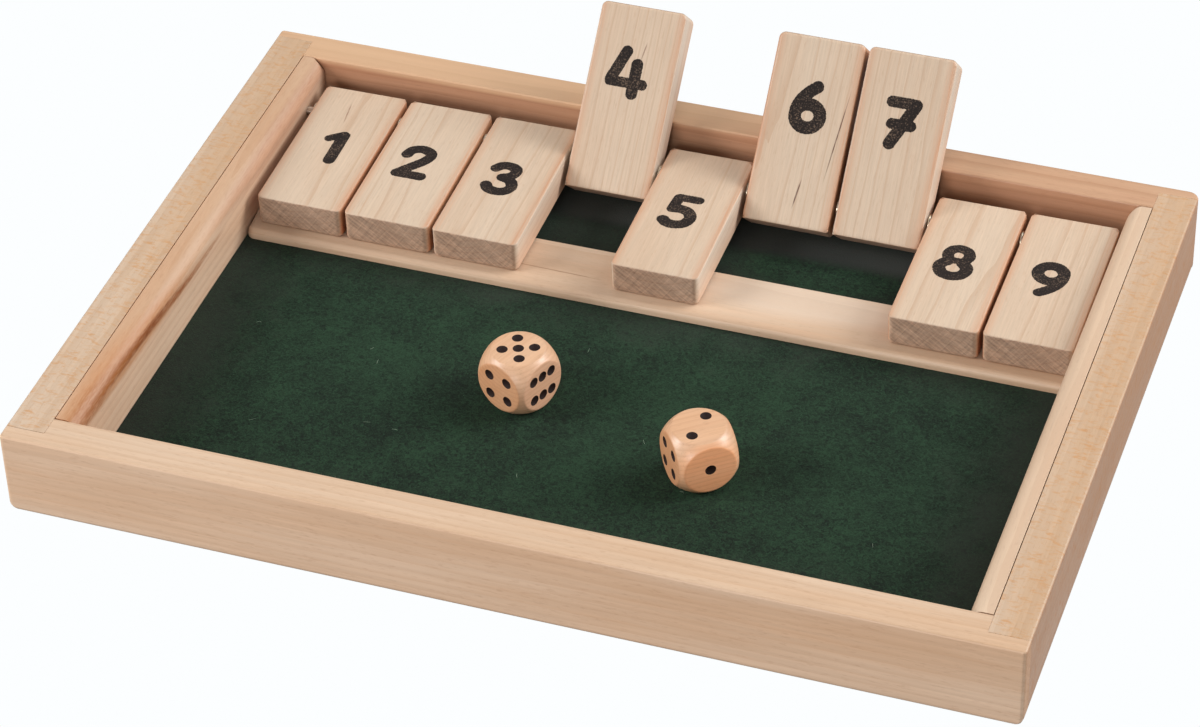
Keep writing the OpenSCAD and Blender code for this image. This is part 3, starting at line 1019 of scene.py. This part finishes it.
@dataclass
class FeltFloor:
    """The green felt on the bottom panel, with a little loose lint on it."""

    half_x: float = 108.85
    front: float = -77.85
    back: float = 78.25
    low: float = 5.0
    thick: float = 1.1
    wave: float = 0.03
    cells: tuple[int, int] = (88, 64)
    seed: int = 7
    lint_count: int = 18
    lint_r: float = 0.03
    lint_rise: float = 0.05
    lint_x: Point = (-104, 104)
    lint_y: Point = (-75, 17)
    lint_length: Point = (0.5, 1.7)
    lint_bend: Point = (-1.2, 1.2)
    curl: tuple[float, float, float, float, float] = (88.5, -69.5, 4.6, 0.9, 2.3)

    def build(self, finishes: Finishes) -> Piece:
        """Builds the felt as a laid sheet that is hardly uneven.

        Args:
            finishes: the tray's finishes.

        Returns:
            The felt.
        """
        top = self.low + self.thick - self.wave
        felt = grid("felt_cloth", self.cells, (-self.half_x, self.front, top), (self.half_x, self.back, top))
        # Swells of 30 to 50 mm
        for vertex in felt.data.vertices:
            x, y = vertex.co.x / MM, vertex.co.y / MM
            swell = math.sin(x * 0.21 + 1.3 * math.sin(y * 0.13))
            vertex.co.z += self.wave * MM * swell * math.cos(y * 0.17 + x * 0.05)
        apply_modifier(felt, "SOLIDIFY", thickness=(self.thick - 2 * self.wave) * MM, offset=-1.0)
        bpy.ops.object.shade_smooth_by_angle(angle=SHARP)
        finishes.felt.dress(felt)
        return felt

    def scatter_lint(self) -> Piece:
        """Lays short pale fibres on the felt, one long curl of them near the front right corner.

        Returns:
            All the fibres as one piece.
        """
        chance = random.Random(self.seed)
        low = self.low + self.thick + self.lint_r
        curve = bpy.data.curves.new("lint", "CURVE")
        curve.dimensions, curve.bevel_depth, curve.bevel_resolution = "3D", self.lint_r * MM, 0
        spots = [self.curl]
        for _ in range(self.lint_count):
            spots.append((chance.uniform(*self.lint_x), chance.uniform(*self.lint_y),
                          chance.uniform(*self.lint_length), chance.uniform(0, math.pi),
                          chance.uniform(*self.lint_bend)))
        for x, y, length, angle, bend in spots:
            spline = curve.splines.new("POLY")
            spline.points.add(5)
            for i, point in enumerate(spline.points):
                point.co = (x * MM, y * MM, (low + self.lint_rise * math.sin(math.pi * i / 5)) * MM, 1)
                x, y = x + length / 5 * math.cos(angle), y + length / 5 * math.sin(angle)
                angle += bend / 5
        lint = bpy.data.objects.new("lint", curve)
        bpy.context.scene.collection.objects.link(lint)
        work_on(lint)
        bpy.ops.object.convert(target="MESH")
        lint = bpy.context.active_object
        nodes = Nodes("lint_fibre")
        tone = nodes.add("TexNoise", {"Vector": nodes.add("TexCoord", out="Object"), "Scale": 60.0})
        colour = nodes.add("Mix", {0: tone, 6: srgb("#5E8A6C"), 7: srgb("#B8C4AE")}, 2, data_type="RGBA")
        lint.data.materials.append(nodes.finish(nodes.add("BsdfPrincipled", {
            "Base Color": colour, "Roughness": 0.8})))
        return lint


@dataclass
class Hinge:
    """The steel rod that every tile turns on, and the washers that space the tiles."""

    y: float = 65.75
    z: float = 15.15
    rod_r: float = 1.25
    rod_end_r: float = 0.3
    reach: float = 114.8
    washer_r: float = 2.6
    washer_bore_r: float = 1.35
    washer_t: float = 0.5
    washer_rim_r: float = 0.12

    def build(self, places: Sequence[float], finishes: Finishes) -> list[Piece]:
        """Builds the rod and one washer, which is copied to each place.

        Args:
            places: the middles of the washers along X, in mm.
            finishes: the tray's finishes.

        Returns:
            The rod and the joined washers.
        """
        rod = bar("steel_rod", self.rod_r, -self.reach, self.reach, self.y, self.z)
        ease(rod, self.rod_end_r, lambda m, d: abs(abs(m.x) - self.reach) < NEAR, 3)
        finishes.rod.dress(smooth(rod))
        first = bar("steel_washers", self.washer_r, -self.washer_t / 2, self.washer_t / 2, self.y, self.z)
        carve(first, bar("bore", self.washer_bore_r, -OVER, OVER, self.y, self.z))
        ease(first, self.washer_rim_r, lambda m, d: abs(d.x) < 0.5
             and math.hypot(m.y - self.y, m.z - self.z) > self.washer_bore_r + 0.1, 2)
        finishes.washer.dress(smooth(first))
        washers = []
        for x in places:
            washers.append(twin(first))
            put(washers[-1], Matrix.Translation((x * MM, 0, 0)))
        bpy.data.objects.remove(first)
        return [rod, join(washers)]


# ---------------------------------------------------------------- the tiles


class Face(Enum):
    """The two numbered faces of a tile, by where they are when it is shut."""

    TOP = "top"
    UNDER = "under"


@dataclass(frozen=True)
class Stroke:
    """One pen stroke of a number: a smooth line through its points, or a ring."""

    width: float
    points: tuple[Point, ...]
    closed: bool = False

    def line(self, steps: int = 10) -> list[Point]:
        """Draws a smooth curve through the stroke's points.

        Args:
            steps: how many lines there are from one point to the next.

        Returns:
            The points of the stroke's middle line.
        """
        p = self.points
        if self.closed:
            p = (p[-1], *p, p[0], p[1])
        elif len(p) < 3:
            return list(p)
        else:
            p = (p[0], *p, p[-1])
        line = []
        for a, b, c, d in zip(p, p[1:], p[2:], p[3:]):
            for i in range(steps):
                t = i / steps
                line.append(tuple(
                    0.5 * (2 * b[k] + (c[k] - a[k]) * t + (2 * a[k] - 5 * b[k] + 4 * c[k] - d[k]) * t * t
                           + (3 * b[k] - a[k] - 3 * c[k] + d[k]) * t ** 3) for k in (0, 1)))
        line.append(p[-2])
        return line


def ring(width: float, x: float, y: float, rx: float, ry: float) -> Stroke:
    """A closed round stroke about (x, y)."""
    turns = (k * math.pi / 6 for k in range(12))
    return Stroke(width, tuple((x + rx * math.cos(turn), y + ry * math.sin(turn)) for turn in turns), True)


# The numbers' strokes, in mm from the middle of each
NUMBERS: dict[int, tuple[Stroke, ...]] = {
    1: (Stroke(3.3, ((0.95, -5.35), (0.95, 5.25))),
        Stroke(2.6, ((0.7, 5.5), (-2.4, 3.2)))),
    2: (Stroke(3.1, ((-4.3, 2.6), (-3.5, 4.55), (-1.2, 5.55), (1.2, 4.85), (1.9, 3.1), (0.9, 0.85),
                     (-1.3, -1.75), (-4.2, -5.15))),
        Stroke(3.1, ((-4.3, -5.3), (2.2, -5.3)))),
    3: (Stroke(3.1, ((-4.05, 3.65), (-2.85, 4.95), (-0.95, 5.3), (0.95, 4.65), (1.5, 3.3), (0.75, 1.55),
                     (-1.25, 0.4))),
        Stroke(3.1, ((-1.25, 0.4), (1.05, -0.4), (2.3, -2.6), (1.25, -4.75), (-1.05, -5.45), (-3.15, -4.95),
                     (-4.35, -3.5)))),
    4: (Stroke(3.0, ((-2.05, 5.5), (-5.05, -2.2))),
        Stroke(2.7, ((-5.15, -2.6), (3.65, -2.6))),
        Stroke(3.1, ((1.3, 2.45), (1.3, -5.25)))),
    5: (Stroke(2.8, ((-2.7, 5.4), (2.3, 5.4))),
        Stroke(2.9, ((-2.9, 5.2), (-3.3, 0.75))),
        Stroke(3.2, ((-3.2, 0.7), (-1.2, 0.95), (1.0, 0.3), (2.25, -1.85), (1.4, -4.35), (-0.9, -5.4),
                     (-3.0, -5.15), (-4.3, -4.15)))),
    6: (ring(3.3, 0.15, -2.9, 3.3, 3.05),
        Stroke(3.2, ((1.4, 4.85), (-0.5, 3.2), (-2.2, 1.1), (-3.1, -1.2), (-3.15, -2.9)))),
    7: (Stroke(2.9, ((-2.9, 4.6), (3.5, 4.6))),
        Stroke(3.2, ((3.5, 4.4), (-1.6, -6.1))),
        Stroke(2.8, ((-2.0, -1.0), (3.1, -1.0)))),
    8: (Stroke(3.0, ((-3.1, 1.75), (-3.45, 3.0), (-2.65, 4.77), (-0.7, 5.5), (1.25, 4.77), (2.05, 3.0),
                     (1.7, 1.75))),
        Stroke(3.3, ((-2.9, 0.0), (-4.1, -1.25), (-4.3, -2.75), (-3.3, -4.6), (-0.9, -5.4), (1.5, -4.6),
                     (2.5, -2.75), (2.3, -1.25), (1.1, 0.0))),
        Stroke(2.35, ((-1.9, 0.68), (0.5, 0.68)))),
    9: (ring(3.2, -0.95, 2.4, 3.25, 3.0),
        Stroke(3.0, ((2.35, 2.5), (2.25, 0.4), (1.25, -1.95), (-0.35, -3.95), (-2.15, -5.4)))),
}


@dataclass
class Numeral:
    """A printed number, as a thin layer of ink."""

    value: int
    half: Point = (8.0, 8.4)
    cell: float = 0.2
    proud: float = 0.03
    sunk: float = 0.04
    rough: float = 0.07
    probe: float = 0.02

    def build(self, name: str) -> Piece:
        """Cuts the number out of a fine grid and draws the grid's edge onto its outline.

        Args:
            name: the piece's name.

        Returns:
            The ink, flat on the XY plane about the origin.
        """
        w, h = self.half
        cells = (int(2 * w / self.cell), int(2 * h / self.cell))
        ink = grid(name, cells, (-w, -h, self.proud), (w, h, self.proud))
        lines = [(stroke.line(), stroke.width / 2) for stroke in NUMBERS[self.value]]
        bpy.ops.object.mode_set(mode="EDIT")
        mesh = bmesh.from_edit_mesh(ink.data)
        bpy.ops.mesh.select_mode(type="FACE")
        bpy.ops.mesh.select_all(action="DESELECT")
        for face in mesh.faces:
            middle = face.calc_center_median() / MM
            face.select_set(self._outside(middle.x, middle.y, lines) > 0)
        bmesh.update_edit_mesh(ink.data)
        bpy.ops.mesh.delete(type="FACE")
        mesh = bmesh.from_edit_mesh(ink.data)
        chance = random.Random(self.value)
        for vertex in [v for v in mesh.verts if v.is_boundary]:
            bleed = chance.uniform(-self.rough, self.rough)
            for _ in range(2):
                x, y, step = vertex.co.x / MM, vertex.co.y / MM, self.probe
                away = self._outside(x, y, lines)
                slope = Vector((self._outside(x + step, y, lines) - self._outside(x - step, y, lines),
                                self._outside(x, y + step, lines) - self._outside(x, y - step, lines)))
                if slope.length > 1e-6:
                    slope.normalize()
                    vertex.co.x -= slope.x * (away - bleed) * MM
                    vertex.co.y -= slope.y * (away - bleed) * MM
        bmesh.update_edit_mesh(ink.data)
        bpy.ops.mesh.select_all(action="SELECT")
        down = (0, 0, -(self.proud + self.sunk) * MM)
        bpy.ops.mesh.extrude_region_move(TRANSFORM_OT_translate={"value": down})
        bpy.ops.mesh.select_all(action="SELECT")
        bpy.ops.mesh.normals_make_consistent(inside=False)
        bpy.ops.object.mode_set(mode="OBJECT")
        return ink

    @staticmethod
    def _outside(x: float, y: float, lines: list[tuple[list[Point], float]]) -> float:
        """Measures how far a point lies outside the strokes.

        Args:
            x: the point's place across.
            y: the point's height.
            lines: each stroke's middle line and half width.

        Returns:
            The distance in mm, negative inside a stroke.
        """
        best = math.inf
        for line, half in lines:
            for (ax, ay), (bx, by) in zip(line, line[1:]):
                dx, dy = bx - ax, by - ay
                span = dx * dx + dy * dy
                t = 0.0 if span < 1e-12 else max(0.0, min(1.0, ((x - ax) * dx + (y - ay) * dy) / span))
                best = min(best, math.hypot(x - ax - t * dx, y - ay - t * dy) - half)
        return best


@dataclass
class TileRow:
    """Nine tiles on the rod; a raised tile leans back on the back rail's inner top edge."""

    width: float = 22.95
    length: float = 49.25
    thick: float = 8.7
    pitch: float = 23.956
    first_x: float = -94.822
    heel: float = 7.6
    under: float = 5.2
    rod: Point = (65.75, 15.15)
    bore_r: float = 1.33
    washer_gap: float = 0.37
    corner_r: float = 1.6
    top_r: float = 0.5
    under_r: float = 0.9
    wear: Point = (0.95, 1.1)
    raised: tuple[int, ...] = (4, 6, 7)
    fall: float = 1.585
    open_turn: float = 134.187
    # Painted shade and light on the tiles' long sides: a red-brown darker tint on the sides of the tiles
    # listed here, a paler one on the others' sides, and a darker tint towards the bottom of every side
    tiles_with_red_painted_shade: tuple[int, ...] = (1, 2, 6, 8, 9)
    red_flank_painted_shade: Place = (0.9, 0.6, 0.45)
    pale_flank_painted_light: Place = (1.13, 1.22, 1.34)
    low_flank_painted_shade: Place = (1.0, 0.82, 0.72)
    top_number: Point = (0.0, -16.95)
    under_number: Point = (0.0, -23.95)
    marks: dict[int, tuple[Mark, ...]] = field(default_factory=lambda: {
        1: (Mark(-2.2, 1.75, 10, 0.5, 6.4, "#8A6450", 0.8),),
        4: (Mark(-30.0, 2.35, 6, 0.45, -9, "#7A5646", 0.8, 0.3),),
        6: (Mark(-16.8, 8.9, 27, 0.42, -5.7, "#5A3A2C", 0.95, 0.45),
            Mark(-1.0, 1.6, 9, 0.55, -7.5, "#5A3A2C", 0.95, 0.3)),
    })

    def x(self, number: int) -> float:
        """Middle of a tile along X."""
        return self.first_x + (number - 1) * self.pitch

    def washer_places(self) -> list[float]:
        """Finds the middles of the ten washers along X."""
        inner = [self.x(n) + self.pitch / 2 for n in range(1, 9)]
        return [self.x(1) - self.width / 2 - self.washer_gap, *inner,
                self.x(9) + self.width / 2 + self.washer_gap]

    def build(self, number: int, finishes: Finishes) -> list[Piece]:
        """Builds one tile where it lies, with a number on both faces.

        Args:
            number: 1 to 9.
            finishes: the tray's finishes.

        Returns:
            The tile and its two numbers.
        """
        turn = turned("X", -self.open_turn if number in self.raised else self.fall)
        origin = (self.x(number), *self.rod)
        place = shifted(*origin) @ turn.to_4x4()
        tile = self._blank(number)
        put(tile, place)
        chance = random.Random(number * 13)
        flip = turned("X", 180) if number in self.raised else Matrix.Identity(3)
        # The tile's tints on its long sides are painted light and shade
        finishes.tile.dress(tile, Board(
            origin, turn @ turned("Z", 90) @ flip,
            pith=(chance.uniform(-16, 16), -chance.uniform(16, 60)),
            tilt=(chance.uniform(-9, 9), chance.uniform(-1.5, 1.5)), seed=number * 1.7,
            half_width=self.width / 2, marks=self.marks.get(number, ()),
            painted_flank_light_and_shade=self.red_flank_painted_shade if number in self.tiles_with_red_painted_shade else self.pale_flank_painted_light, painted_low_flank_shade=self.low_flank_painted_shade))
        ink = finishes.ink.make()
        printed = Numeral(number).build(f"tile_{number}_number_{Face.TOP.value}")
        second = twin(printed)
        second.name = f"tile_{number}_number_{Face.UNDER.value}"
        for figure, where in (
            (printed, shifted(*self.top_number, self.thick - self.under)),
            (second, shifted(*self.under_number, -self.under) @ Matrix.Rotation(math.pi, 4, "X")),
        ):
            put(figure, place @ where)
            figure.data.materials.append(ink)
        return [tile, printed, second]

    def _blank(self, number: int) -> Piece:
        """Builds a shut tile about the rod's axis, drilled and with its edges eased.

        Args:
            number: 1 to 9, which varies the wear of its edges.

        Returns:
            The tile.
        """
        half, free, top = self.width / 2, self.heel - self.length, self.thick - self.under
        tile = block(f"tile_{number}_wood", (-half, free, -self.under), (half, self.heel, top))
        carve(tile, bar("bore", self.bore_r, -half - OVER, half + OVER, 0, 0))
        wear = random.Random(number).uniform(*self.wear)
        ease(tile, self.corner_r * wear,
             lambda m, d: lies(d, 2) and math.hypot(m.y, m.z) > self.bore_r + 0.2, 6)
        ease(tile, self.top_r * wear, lambda m, d: m.z > top - NEAR, 4)
        ease(tile, self.under_r * wear, lambda m, d: m.z < NEAR - self.under, 5)
        return smooth(tile)


# ---------------------------------------------------------------- the dice


@dataclass
class Die:
    """A wooden die: a ball sawn flat on six sides, with painted hollows for pips."""

    name: str
    x: float
    y: float
    turn: float
    top: int
    left: int
    front: int
    # Painted light: a tint, mostly lighter, on the two faces across the grain
    painted_flank_light_and_shade: Place
    rest: float = 6.2
    edge: float = 15.3
    ball: float = 20.2
    pip_r: float = 1.4
    pip_depth: float = 0.5
    step: float = 2.8
    six_step: float = 3.1
    cells: int = 56
    rim: float = 0.05
    sharp_turn: float = 30.0

    @property
    def half(self) -> float:
        """Half the distance between two flats."""
        return self.edge / 2

    def build(self, finishes: Finishes) -> Piece:
        """Builds the die where it lies.

        Args:
            finishes: the tray's finishes.

        Returns:
            The die.
        """
        die = primitive(f"{self.name}_wood", "cube", size=self.edge * MM)
        bpy.ops.object.mode_set(mode="EDIT")
        bpy.ops.mesh.subdivide(number_cuts=self.cells - 1)
        bpy.ops.object.mode_set(mode="OBJECT")
        for vertex in die.data.vertices:
            vertex.co = self._on_surface(vertex.co.normalized())
        middle, turn = (self.x, self.y, self.rest + self.half), turned("Z", self.turn)
        finishes.die.dress(die, Board(middle, turn, (3, -14), (4, 0), self.x, painted_flank_light_and_shade=self.painted_flank_light_and_shade))
        die.data.materials.append(finishes.pips.make())
        carve(die, self._pip_cutters())
        for polygon in die.data.polygons:
            at = polygon.center / MM
            sunk = max(abs(c) for c in at) < self.half - 0.004 and self._in_pip(at)
            polygon.material_index = 1 if sunk else 0
        put(die, shifted(*middle) @ turn.to_4x4())
        bpy.ops.object.shade_smooth_by_angle(angle=math.radians(self.sharp_turn))
        return die

    def _on_surface(self, way: Vector) -> Vector:
        """The point of the flattened ball that lies a way from its middle, in metres."""
        near, far = sorted((self.half / max(abs(c) for c in way), self.ball / 2))
        return way * (near - self.rim * math.log1p(math.exp((near - far) / self.rim))) * MM

    def _faces(self) -> list[tuple[int, Matrix]]:
        """Lists each face's number, and the turn that takes +Z to it.

        Returns:
            The six faces.
        """
        faces = []
        for number, axis, near, far in ((self.top, "X", 0, 180), (self.left, "Y", -90, 90),
                                        (self.front, "X", 90, -90)):
            faces += [(number, turned(axis, near)), (7 - number, turned(axis, far))]
        return faces

    def _pips(self, number: int) -> list[Point]:
        """Lists the places of a face's pips.

        Args:
            number: how many pips it has.

        Returns:
            Their middles on the face.
        """
        s, c = self.step, self.six_step
        if number == 6:
            return [(x, y) for x in (-c, 0.0, c) for y in (-s, s)]
        spots: list[Point] = [(0.0, 0.0)] if number % 2 else []
        if number > 1:
            spots += [(-s, -s), (s, s)]
        if number > 3:
            spots += [(-s, s), (s, -s)]
        return spots

    def _in_pip(self, at: Vector) -> bool:
        """Tells whether a point lies in a pip's hollow.

        Args:
            at: a small face's middle, from the die's own middle.

        Returns:
            Whether it does.
        """
        for number, turn in self._faces():
            own = turn.inverted() @ at
            if own.z > self.half - self.pip_depth - 0.1:
                reach = self.pip_r + 0.02
                return any(math.hypot(own.x - x, own.y - y) < reach for x, y in self._pips(number))
        return False

    def _pip_cutters(self) -> Piece:
        """Builds the balls that hollow all pips.

        Returns:
            The balls as one object.
        """
        ball = (self.pip_r ** 2 + self.pip_depth ** 2) / (2 * self.pip_depth)
        rise = self.half - self.pip_depth + ball
        cutters = []
        for number, turn in self._faces():
            for x, y in self._pips(number):
                cutters.append(primitive("pip", "uv_sphere", segments=40, ring_count=24, radius=ball * MM))
                put(cutters[-1], turn.to_4x4() @ shifted(x, y, rise))
        return join(cutters)


# ---------------------------------------------------------------- the studio


@dataclass
class Studio:
    """A pale floor, soft lights and the camera."""

    camera_at: Place = (0.26240, -0.72577, 0.63980)
    camera_turn: Place = (50.6203, 1.5446, 18.9673)
    focal_px: float = 4046.9
    sensor: float = 36.0
    reach: float = 1.2
    sky: float = 0.37
    floor: str = "#FCFEFF"
    floor_size: float = 6.0
    floor_z: float = -0.0002
    glow: float = 0.3
    box_size: float = 0.5
    softboxes: tuple[tuple[str, Point, float], ...] = (
        ("right_softbox", (24, 29), 9.8),
        ("back_softbox", (50, 45), 4.3),
        ("left_softbox", (204, 28), 10.3),
        ("front_softbox", (268, 18), 4.8),
    )

    def set_up(self) -> None:
        """Makes the camera, the sky, the lights and the floor."""
        scene = bpy.context.scene
        scene.view_settings.view_transform = "Standard"
        turn = [math.radians(a) for a in self.camera_turn]
        bpy.ops.object.camera_add(location=self.camera_at, rotation=turn)
        scene.camera = bpy.context.active_object
        scene.camera.data.sensor_width = self.sensor
        scene.camera.data.lens = self.focal_px * self.sensor / PICTURE_W
        scene.world = bpy.data.worlds.new("studio")
        scene.world.use_nodes = True
        sky = scene.world.node_tree.nodes["Background"].inputs
        sky["Color"].default_value = (1, 1, 1, 1)
        sky["Strength"].default_value = self.sky
        for name, heading, watts in self.softboxes:
            self._softbox(name, heading, watts)
        floor = primitive("floor", "plane", size=self.floor_size, location=(0, 0, self.floor_z))
        # A lit sweep: even white to the camera, and a soft glow from below on the tray's sides
        nodes = Nodes("lit_sweep")
        seen = nodes.add("LightPath", out="Is Camera Ray")
        strength = nodes.add("MapRange", (seen, 0, 1, self.glow))
        floor.data.materials.append(nodes.finish(nodes.add("Emission", {
            "Color": srgb(self.floor), "Strength": strength})))

    def _softbox(self, name: str, heading: Point, watts: float) -> None:
        """Adds a square soft light that looks at the tray.

        Args:
            name: the light's name.
            heading: its direction from the tray, as azimuth from +X and elevation in degrees.
            watts: its power.
        """
        azimuth, elevation = (math.radians(a) for a in heading)
        flat = self.reach * math.cos(elevation)
        at = Vector((flat * math.cos(azimuth), flat * math.sin(azimuth), self.reach * math.sin(elevation)))
        bpy.ops.object.light_add(type="AREA", location=at)
        lamp = bpy.context.active_object
        lamp.name = name
        lamp.data.shape, lamp.data.size, lamp.data.energy = "SQUARE", self.box_size, watts
        lamp.rotation_euler = (-at).to_track_quat("-Z", "Y").to_euler()


@dataclass
class Fitting:
    """Puts finished pieces on their bodies."""

    slots: dict[str, str]

    def place(self, piece: Piece, body: str, node: str | None = None) -> None:
        """Makes piece ride on a body, in place of a node if one is named.

        Args:
            piece: the finished piece.
            body: the body that it rides on.
            node: the node that it stands for.
        """
        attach(piece, body)
        if node:
            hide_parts(node)
        log.info("%s rides on %s, %d faces", piece.name, body, len(piece.data.polygons))


def main() -> None:
    """Builds every piece and sets the studio."""
    logging.basicConfig(level=logging.INFO, format="%(name)s: %(message)s")
    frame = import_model()
    bpy.ops.object.select_all(action="DESELECT")
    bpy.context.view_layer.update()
    fitting = Fitting({part["node"]: part["material_slot"] for part in frame["record"]["subparts"]})
    finishes = Finishes()
    Studio().set_up()
    for piece in Tray().build(finishes):
        fitting.place(piece, "tray", piece.name.removesuffix("_wood"))
    floor = FeltFloor()
    fitting.place(floor.build(finishes), "tray", "felt_sheet")
    fitting.place(floor.scatter_lint(), "tray")
    row = TileRow()
    rod, washers = Hinge().build(row.washer_places(), finishes)
    fitting.place(rod, "tray", "hinge_rod")
    fitting.place(washers, "tray", "washers")
    for number in range(1, 10):
        body = f"tile_{number}"
        tile, *figures = row.build(number, finishes)
        fitting.place(tile, body, body)
        for figure in figures:
            fitting.place(figure, body)
    # Each die's last tuple is painted light, a tint on its two faces across the grain
    for die in (Die("die_1", -19.1, -18.9, 67.5, 5, 4, 6, (1.08, 1.0, 1.0)),
                Die("die_2", 31.6, -33.6, 38.5, 2, 4, 1, (1.45, 1.14, 0.95))):
        fitting.place(die.build(finishes), die.name, die.name)


if __name__ == "__main__":
    main()
